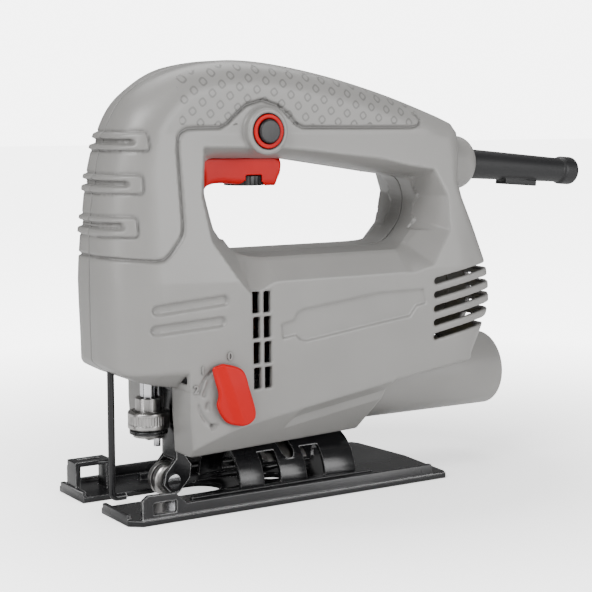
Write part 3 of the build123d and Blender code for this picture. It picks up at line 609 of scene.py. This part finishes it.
def net_faces(solid, number):
    """Quads across every change of sign between neighbours on the lattice."""
    faces = []
    for axis in range(3):
        u, v = [a for a in range(3) if a != axis]
        change = np.diff(solid.astype(np.int8), axis=axis)
        inner = [slice(1, -1)] * 3
        inner[axis] = slice(None)
        spots = np.argwhere(change[tuple(inner)] != 0)
        spots[:, u] += 1
        spots[:, v] += 1
        out = change[tuple(spots.T)] < 0
        quad = []
        for du, dv in ((0, 0), (1, 0), (1, 1), (0, 1)):
            cell = spots.copy()
            cell[:, u] -= du
            cell[:, v] -= dv
            quad.append(number[tuple(cell.T)])
        quad = np.stack(quad, axis=1)
        flip = out if axis == 1 else ~out
        quad[flip] = quad[flip][:, ::-1]
        faces.append(quad)
    return np.vstack(faces)


def from_field(name, field, low, high, step):
    """Closed quad mesh of the zero surface, by surface nets. Box and step in mm."""
    low = np.array(low, float) - step * np.array([1.317, 1.171, 1.239])
    counts = np.ceil((np.array(high) - low) / step).astype(int) + 2
    axes = [low[i] + step * np.arange(counts[i]) for i in range(3)]
    value = field(axes[0][:, None, None], axes[1][None, :, None], axes[2][None, None, :])
    value = np.where(np.abs(value) < 1e-6, 1e-6, value)
    solid = value < 0
    corners = [(i, j, k) for i in (0, 1) for j in (0, 1) for k in (0, 1)]
    shape = tuple(counts - 1)

    def shifted(grid, c):
        return grid[c[0]:c[0] + shape[0], c[1]:c[1] + shape[1], c[2]:c[2] + shape[2]]

    total = sum(shifted(solid, c).astype(np.int8) for c in corners)
    cells = np.argwhere((total > 0) & (total < 8))
    number = np.full(shape, -1, np.int64)
    number[tuple(cells.T)] = np.arange(len(cells))
    place = np.zeros((len(cells), 3))
    weight = np.zeros(len(cells))
    at = [value[cells[:, 0] + c[0], cells[:, 1] + c[1], cells[:, 2] + c[2]] for c in corners]
    for i, a in enumerate(corners):
        for j, b in enumerate(corners):
            if j > i and sum(abs(p - q) for p, q in zip(a, b)) == 1:
                crossing = (at[i] < 0) != (at[j] < 0)
                t = np.where(crossing, at[i] / np.where(crossing, at[i] - at[j], 1), 0)
                point = np.array(a) + t[:, None] * (np.array(b) - np.array(a))
                place += point * crossing[:, None]
                weight += crossing
    points = low + step * (cells + place / weight[:, None])
    points = settle(field, points, step)
    world = (points + np.array([NOSE, 0, 0])) * MM
    return link_mesh(name, world, net_faces(solid, number))


def lathe(name, start, axis, profile, segments):
    """Closed piece of revolution from (along, radius) points in mm, a closed loop."""
    axis = Vector(axis).normalized()
    side = axis.orthogonal().normalized()
    up = axis.cross(side)
    loop = np.array(profile, float)
    angles = np.linspace(0, 2 * math.pi, segments, endpoint=False)
    ring = np.cos(angles)[:, None] * np.array(side) + np.sin(angles)[:, None] * np.array(up)
    points = (np.array(start) + loop[None, :, :1] * np.array(axis)
              + loop[None, :, 1:] * ring[:, None, :]).reshape(-1, 3)
    n = len(loop)
    i = np.arange(segments)[:, None] * n
    j = np.arange(n)[None, :]
    k, m = (i + n) % (segments * n), (j + 1) % n
    faces = np.stack([i + j, k + j, k + m, i + m], axis=-1).reshape(-1, 4)
    points = (points + np.array([NOSE, 0, 0])) * MM
    piece = link_mesh(name, points, faces)
    bm = bmesh.new()
    bm.from_mesh(piece.data)
    bmesh.ops.recalc_face_normals(bm, faces=bm.faces)
    bm.to_mesh(piece.data)
    bm.free()
    return piece


# ---------------------------------------------------------------- materials
BLOTCH_SCALE = 35.0  # noise scale of the slow changes of colour and roughness
PAINTED_SHADE_REACH = 0.002  # how near other surfaces must be for crevices to get painted shade, m
PATTERN_PITCH = 0.0060  # spacing of the rings on the grip, m


def base_material(name, colour, roughness, metallic=0.0, spread=0.06, grain=900.0, bump=0.1,
                  stretch=(1, 1, 1), wear=0.06, coat=0.0, shine=0.5):
    """Object-space noise drives colour, roughness and a fine bump; crevices are darkened as painted shade.
    """
    material = bpy.data.materials.new(name)
    material.use_nodes = True
    tree = material.node_tree
    nodes, links = tree.nodes, tree.links
    shader = nodes["Principled BSDF"]
    shader.inputs["Metallic"].default_value = metallic
    shader.inputs["Coat Weight"].default_value = coat
    shader.inputs["Specular IOR Level"].default_value = shine
    shader.inputs["Coat Roughness"].default_value = 0.15
    coordinates = nodes.new("ShaderNodeTexCoord")
    mapping = nodes.new("ShaderNodeMapping")
    mapping.inputs["Scale"].default_value = stretch
    links.new(coordinates.outputs["Object"], mapping.inputs["Vector"])
    fine = nodes.new("ShaderNodeTexNoise")
    fine.inputs["Scale"].default_value = grain
    fine.inputs["Detail"].default_value = 4
    wide = nodes.new("ShaderNodeTexNoise")
    wide.inputs["Scale"].default_value = BLOTCH_SCALE
    wide.inputs["Detail"].default_value = 3
    for texture in (fine, wide):
        links.new(mapping.outputs["Vector"], texture.inputs["Vector"])
    ramp = nodes.new("ShaderNodeValToRGB")
    dark = [c * (1 - spread) for c in colour]
    light = [min(1, c * (1 + spread)) for c in colour]
    ramp.color_ramp.elements[0].position = 0.35
    ramp.color_ramp.elements[0].color = (*dark, 1)
    ramp.color_ramp.elements[1].position = 0.65
    ramp.color_ramp.elements[1].color = (*light, 1)
    links.new(wide.outputs["Fac"], ramp.inputs["Fac"])
    # ambient occlusion darkens the base colour in crevices: painted shade
    painted_crevice_shade = nodes.new("ShaderNodeAmbientOcclusion")
    painted_crevice_shade.samples = 6
    painted_crevice_shade.inputs["Distance"].default_value = PAINTED_SHADE_REACH
    links.new(ramp.outputs["Color"], painted_crevice_shade.inputs["Color"])
    links.new(painted_crevice_shade.outputs["Color"], shader.inputs["Base Color"])
    rough = nodes.new("ShaderNodeMapRange")
    rough.inputs["To Min"].default_value = roughness - wear
    rough.inputs["To Max"].default_value = roughness + wear
    links.new(wide.outputs["Fac"], rough.inputs["Value"])
    links.new(rough.outputs["Result"], shader.inputs["Roughness"])
    relief_node = nodes.new("ShaderNodeBump")
    relief_node.inputs["Strength"].default_value = bump
    relief_node.inputs["Distance"].default_value = 0.0002
    links.new(fine.outputs["Fac"], relief_node.inputs["Height"])
    links.new(relief_node.outputs["Normal"], shader.inputs["Normal"])
    return material


def housing_plastic():
    """Warm light grey with an eroded grain, and raised rings where the grip mask is 1, darkened as painted
    shade.
    """
    material = base_material("housing_plastic", (0.25, 0.245, 0.236), 0.36, grain=1500.0, bump=0.22,
                             spread=0.03)
    tree = material.node_tree
    nodes, links = tree.nodes, tree.links
    coordinates = nodes.new("ShaderNodeTexCoord")
    split = nodes.new("ShaderNodeSeparateXYZ")
    turned = nodes.new("ShaderNodeMapping")
    turned.inputs["Rotation"].default_value = (0, math.radians(38), 0)
    links.new(coordinates.outputs["Object"], turned.inputs["Vector"])
    links.new(turned.outputs["Vector"], split.inputs[0])
    cells = []
    for axis in ("X", "Z"):
        cell = math_node(tree, "DIVIDE", split.outputs[axis], PATTERN_PITCH)
        cell = math_node(tree, "SUBTRACT", math_node(tree, "FRACT", cell), 0.5)
        cells.append(math_node(tree, "POWER", math_node(tree, "ABSOLUTE", cell), 3.0))
    reach = math_node(tree, "POWER", math_node(tree, "ADD", cells[0], cells[1]), 1 / 3)
    off = math_node(tree, "ABSOLUTE", math_node(tree, "SUBTRACT", reach, 0.23))
    ring = math_node(tree, "LESS_THAN", off, 0.06)
    mask = nodes.new("ShaderNodeAttribute")
    mask.attribute_name = "grip_mask"
    raised = math_node(tree, "MULTIPLY", ring, mask.outputs["Fac"])
    bump = nodes.new("ShaderNodeBump")
    bump.inputs["Strength"].default_value = 0.9
    bump.inputs["Distance"].default_value = 0.0006
    links.new(raised, bump.inputs["Height"])
    fine = next(n for n in nodes if n.type == "BUMP" and n != bump)
    links.new(fine.outputs["Normal"], bump.inputs["Normal"])
    shader = nodes["Principled BSDF"]
    links.new(bump.outputs["Normal"], shader.inputs["Normal"])
    # the raised rings are darkened in the base colour as painted shade
    painted_ring_shade = nodes.new("ShaderNodeMix")
    painted_ring_shade.data_type = "RGBA"
    painted_ring_shade.blend_type = "MULTIPLY"
    plain = shader.inputs["Base Color"].links[0].from_socket
    links.new(math_node(tree, "MULTIPLY", raised, 0.6), painted_ring_shade.inputs["Factor"])
    links.new(plain, painted_ring_shade.inputs["A"])
    painted_ring_shade.inputs["B"].default_value = (0.45, 0.45, 0.45, 1)
    links.new(painted_ring_shade.outputs["Result"], shader.inputs["Base Color"])
    return material


def red_plastic():
    return base_material("red_plastic", (0.5, 0.0004, 0.0008), 0.4, spread=0.04, bump=0.05, shine=0.2)


def black_plastic():
    return base_material("black_plastic", (0.008, 0.008, 0.009), 0.4, bump=0.15)


def black_rubber():
    return base_material("black_rubber", (0.007, 0.007, 0.008), 0.5, bump=0.3, grain=1200.0)


def painted_edge_highlight(material, colour, reach, amount):
    """Painted highlight: light grey mixed into the base colour along the edges, in noisy patches."""
    tree = material.node_tree
    nodes, links = tree.nodes, tree.links
    shader = nodes["Principled BSDF"]
    bevel = nodes.new("ShaderNodeBevel")
    bevel.samples = 4
    bevel.inputs["Radius"].default_value = reach
    geometry = nodes.new("ShaderNodeNewGeometry")
    turn = nodes.new("ShaderNodeVectorMath")
    turn.operation = "DOT_PRODUCT"
    links.new(bevel.outputs["Normal"], turn.inputs[0])
    links.new(geometry.outputs["Normal"], turn.inputs[1])
    edge = math_node(tree, "MAXIMUM", math_node(tree, "SUBTRACT", 0.94, turn.outputs["Value"]), 0.0)
    patch = nodes.new("ShaderNodeTexNoise")
    patch.inputs["Scale"].default_value = 220.0
    patch.inputs["Detail"].default_value = 5
    place = next(n for n in nodes if n.type == "TEX_COORD")
    links.new(place.outputs["Object"], patch.inputs["Vector"])
    edge = math_node(tree, "MULTIPLY", edge, math_node(tree, "MULTIPLY", patch.outputs["Fac"], amount))
    edge = math_node(tree, "MINIMUM", edge, 1.0)
    # light grey along the edges is a painted highlight
    mix = nodes.new("ShaderNodeMix")
    mix.data_type = "RGBA"
    old = shader.inputs["Base Color"].links[0].from_socket
    links.new(edge, mix.inputs["Factor"])
    links.new(old, mix.inputs["A"])
    mix.inputs["B"].default_value = (*colour, 1)
    links.new(mix.outputs["Result"], shader.inputs["Base Color"])
    return material


def black_steel():
    material = base_material("black_steel", (0.008, 0.008, 0.009), 0.26, bump=0.12, wear=0.1,
                             shine=0.45)
    # black steel gets a painted highlight on its edges
    return painted_edge_highlight(material, (0.62, 0.62, 0.62), 0.0008, 16.0)


def polished_steel():
    return base_material("polished_steel", (0.68, 0.68, 0.7), 0.16, metallic=1.0, bump=0.03,
                         stretch=(1, 1, 0.1))


def machined_steel():
    return base_material("machined_steel", (0.42, 0.41, 0.4), 0.3, metallic=1.0, bump=0.12,
                         stretch=(0.3, 0.3, 4), wear=0.1)


def zinc_screws():
    return base_material("zinc_screws", (0.58, 0.58, 0.56), 0.34, metallic=1.0, spread=0.12)


def bronze():
    return base_material("bronze", (0.55, 0.37, 0.18), 0.42, metallic=1.0, grain=1800.0, bump=0.3)


def cast_aluminium():
    return base_material("cast_aluminium", (0.52, 0.53, 0.54), 0.5, metallic=1.0, bump=0.4)


def laminated_steel():
    return base_material("laminated_steel", (0.2, 0.2, 0.21), 0.45, metallic=1.0, grain=600.0,
                         stretch=(6, 0.1, 0.1), bump=0.5)


def copper():
    return base_material("copper", (0.6, 0.24, 0.1), 0.3, metallic=1.0, grain=700.0,
                         stretch=(0.2, 3, 3), bump=0.4)


def carbon():
    return base_material("carbon", (0.04, 0.04, 0.045), 0.55, grain=1800.0, bump=0.3)


def capacitor_film():
    return base_material("capacitor_film", (0.62, 0.45, 0.08), 0.25, spread=0.08, coat=0.4)


MATERIALS = {make.__name__: make() for make in (
    housing_plastic, red_plastic, black_plastic, black_rubber, black_steel, polished_steel,
    machined_steel, zinc_screws, bronze, cast_aluminium, laminated_steel, copper, carbon,
    capacitor_film)}
SLOTS = {part["node"]: part["material_slot"] for part in frame["record"]["subparts"]}


def paint(piece, slot):
    """Gives a piece the material of a slot, as its only one."""
    piece.data.materials.clear()
    piece.data.materials.append(MATERIALS[slot])


def stand_for(piece, node, body):
    """Puts a piece on a body in place of a CAD node, with that node's material."""
    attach(piece, body)
    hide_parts(node)
    paint(piece, SLOTS[node])
    return piece


def polish(node, width):
    """Welds a CAD node and rolls its edges, as modifiers."""
    piece = NODES[node]
    weld = piece.modifiers.new("weld", "WELD")
    weld.merge_threshold = 1e-6
    bevel = piece.modifiers.new("rolled_edges", "BEVEL")
    bevel.width = width * MM
    bevel.segments = 3
    bevel.limit_method = "ANGLE"
    bevel.angle_limit = math.radians(35)
    bevel.harden_normals = True
    for polygon in piece.data.polygons:
        polygon.use_smooth = True


# ---------------------------------------------------------------- sub-parts
def grip_mask(points):
    """1 where the crown of the grip has its raised pattern, from points in mm."""
    d, z = points[:, 0] - NOSE, points[:, 2]
    mask = step_up(z, 159.8, 160.4) * step_up(d, 32.0, 33.0) * step_up(d, 152.0, 151.0)
    mask *= 1 - (np.hypot(d - LOCK[0], z - LOCK[1]) < 13.0)
    mask *= step_up(np.abs(points[:, 1]), 15.0, 15.6)
    return mask.astype(np.float32)


def build_housing():
    step = 0.8
    for side, name in ((-1, "housing_left"), (1, "housing_right")):
        span = (-34.0, 0.2) if side < 0 else (-0.2, 34.0)
        half = from_field(name + "_moulding", housing_field(side), (-0.5, span[0], 21.0),
                          (202.0, span[1], 189.0), step)
        co = np.empty(3 * len(half.data.vertices), np.float32)
        half.data.vertices.foreach_get("co", co)
        attribute = half.data.attributes.new("grip_mask", "FLOAT", "POINT")
        attribute.data.foreach_set("value", grip_mask(co.reshape(-1, 3) / MM))
        stand_for(half, name, "housing")


NUMERALS = (("0", (48.3, 64.8)), ("1", (36.4, 59.6)), ("2", (33.6, 51.8)))  # text and (d, z)


def build_numerals():
    """Raised position numbers beside the selector."""
    for text, place in NUMERALS:
        letters = bpy.data.curves.new("numeral_" + text, "FONT")
        letters.body = text
        letters.size = 4.8 * MM
        letters.extrude = 0.6 * MM
        letters.offset = 0.08 * MM
        letters.align_x = "CENTER"
        letters.align_y = "CENTER"
        shape = bpy.data.objects.new("numeral_" + text, letters)
        bpy.context.scene.collection.objects.link(shape)
        width, = look_up(MAPS, ("width",), np.array([place[0]]), np.array([place[1]]))
        mesh = bpy.data.meshes.new_from_object(shape)
        bpy.data.objects.remove(shape)
        numeral = bpy.data.objects.new("numeral_" + text, mesh)
        bpy.context.scene.collection.objects.link(numeral)
        mesh.transform(Matrix.Rotation(math.pi / 2, 4, "X"))
        mesh.transform(Matrix.Translation(((NOSE + place[0]) * MM, -float(width[0]) * MM,
                                           place[1] * MM)))
        bm = bmesh.new()
        bm.from_mesh(mesh)
        bmesh.ops.remove_doubles(bm, verts=bm.verts, dist=1e-7)
        bm.to_mesh(mesh)
        bm.free()
        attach(numeral, "housing")
        paint(numeral, "housing_plastic")


def build_selector():
    """Lever with a faceted face, and its hub."""
    outline = smooth_path([
        (39.1, 60.6), (41.8, 62.0), (44.8, 62.3), (52.4, 59.2), (55.4, 51.0), (58.3, 41.0),
        (56.4, 37.0), (51.5, 35.8), (45.1, 38.0), (41.0, 44.6), (41.8, 49.7), (40.2, 55.5)])

    def field(d, y, z):
        rim = outline_field(d, z, outline)
        # the face falls away towards the front edge and swells in the middle
        along = 0.94 * (d - 43.0) + 0.33 * (z - 55.0)
        face = -37.35 + 1.7 * step_up(along, 3.4, -1.2) + 0.5 * step_up(z, 50.0, 62.0)
        face = face - y
        hub = np.maximum(np.hypot(d - LEVER[0], z - LEVER[1]) - 8.6, -33.9 - y)
        return round_max(np.minimum(rim, hub), np.maximum(face * 0.93, y + 33.3), 1.1)

    lever = from_field("lever_handle", field, (38.0, -37.6, 35.0), (59.5, -33.0, 63.0),
                       0.3)
    stand_for(lever, "selector_lever", "lever")


def build_trigger():
    """Trigger with a well for the speed dial in its finger face."""
    outline = smooth_path([
        (50.0, 146.0), (49.6, 138.5), (50.4, 132.4), (52.6, 134.0), (57.5, 135.0), (67.0, 134.4),
        (76.5, 133.7), (84.0, 133.5), (86.9, 134.8), (87.2, 146.0)])
    # the top is square, in place of the spline's closing stretch
    outline = np.vstack([outline[:-PATH_STEPS], [(87.2, 146.0), (87.2, 147.2), (50.0, 147.2)]])

    def field(d, y, z):
        rim = outline_field(d, z, outline)
        body = round_max(rim, np.abs(y) - 8.4, 2.6)
        body = np.maximum(body, z - 146.6)
        well = np.maximum(np.hypot(d - DIAL, y) - 9.1, z - 138.2)
        spindle = np.maximum(np.hypot(d - DIAL, y) - 2.1, z - 142.0)
        return np.maximum(body, -np.minimum(well, spindle))

    trigger = from_field("trigger_moulding", field, (49.0, -8.6, 131.0), (88.0, 8.6, 147.0),
                         0.45)
    stand_for(trigger, "trigger", "trigger")


def build_sleeve():
    """Tapered tube with a root ring, an end flange and a small tab underneath."""
    root_radius, tip_radius = SLEEVE_RADII

    def field(d, y, z):
        along, off, up = sleeve_frame(d, y, z)
        radius = root_radius + (tip_radius - root_radius) * np.clip(along / 76.0, 0, 1)
        body = round_max(off - radius, along - 77.0, 0.4)
        root = np.maximum(off - 9.2, np.maximum(-2.0 - along, along - 1.5))
        flange = round_max(off - 6.9, np.maximum(73.5 - along, along - 83.6), 2.4)
        tab = round_max(np.abs(y) - 4.0, np.maximum(np.abs(along - 48.0) - 10.0,
                                                    np.abs(up + 7.2) - 1.5), 0.7)
        whole = round_min(np.minimum(np.minimum(body, root), flange), tab, 0.8)
        whole = np.maximum(whole, -2.0 - along)
        return round_max(whole, 3.6 - off, 0.6)

    sleeve = from_field("cord_sleeve", field, (179.0, -9.6, 124.0), (269.0, 9.6, 152.0),
                        0.5)
    stand_for(sleeve, "strain_relief_sleeve", "housing")


def build_dust_tube():
    loop = rounded([(130.5, 15.6), (208.0, 15.6), (208.0, 17.55), (130.5, 17.2)], 0.9)
    tube = lathe("dust_pipe", (0, 0, TUBE_Z), (1, 0, 0), loop, 128)
    stand_for(tube, "dust_tube", "housing")


def build_clamp_collar():
    """Turned collar with fine flutes round its grip."""
    def field(d, y, z):
        off = np.hypot(d - PLUNGER, y)
        angle = np.arctan2(y, d - PLUNGER)
        grip = slab(z, 33.6, 37.4)
        flute = 0.12 * (1 + np.cos(angle * 44)) * step_up(-grip, -0.3, 0.3)
        ring = round_max(off - 8.85 + flute, slab(z, 31.35, 39.15), 0.9)
        return round_max(ring, 6.7 - off, 0.3)

    collar = from_field("twist_collar", field, (17.5, -9.2, 31.0), (36.1, 9.2, 39.5),
                        0.3)
    stand_for(collar, "blade_clamp_collar", "collar")


EDGE_WIDTHS = {
    "base_plate": 0.5, "tilt_tunnel": 0.35, "guide_arm": 0.35, "clamp_retainer": 0.3,
    "blade_clamp_body": 0.3, "roller_pin": 0.25, "guide_roller": 0.25, "speed_dial": 0.25,
    "lock_ring": 0.5, "lock_button": 0.2, "clamp_pin": 0.25}  # mm


def finish_cad_nodes():
    """Materials for every CAD node that is still shown, and rolled edges on the visible ones."""
    for node, piece in NODES.items():
        if piece.hide_render:
            continue
        paint(piece, SLOTS[node])
        if node in EDGE_WIDTHS:
            polish(node, EDGE_WIDTHS[node])


build_housing()
build_numerals()
build_selector()
build_trigger()
build_sleeve()
build_dust_tube()
build_clamp_collar()
finish_cad_nodes()
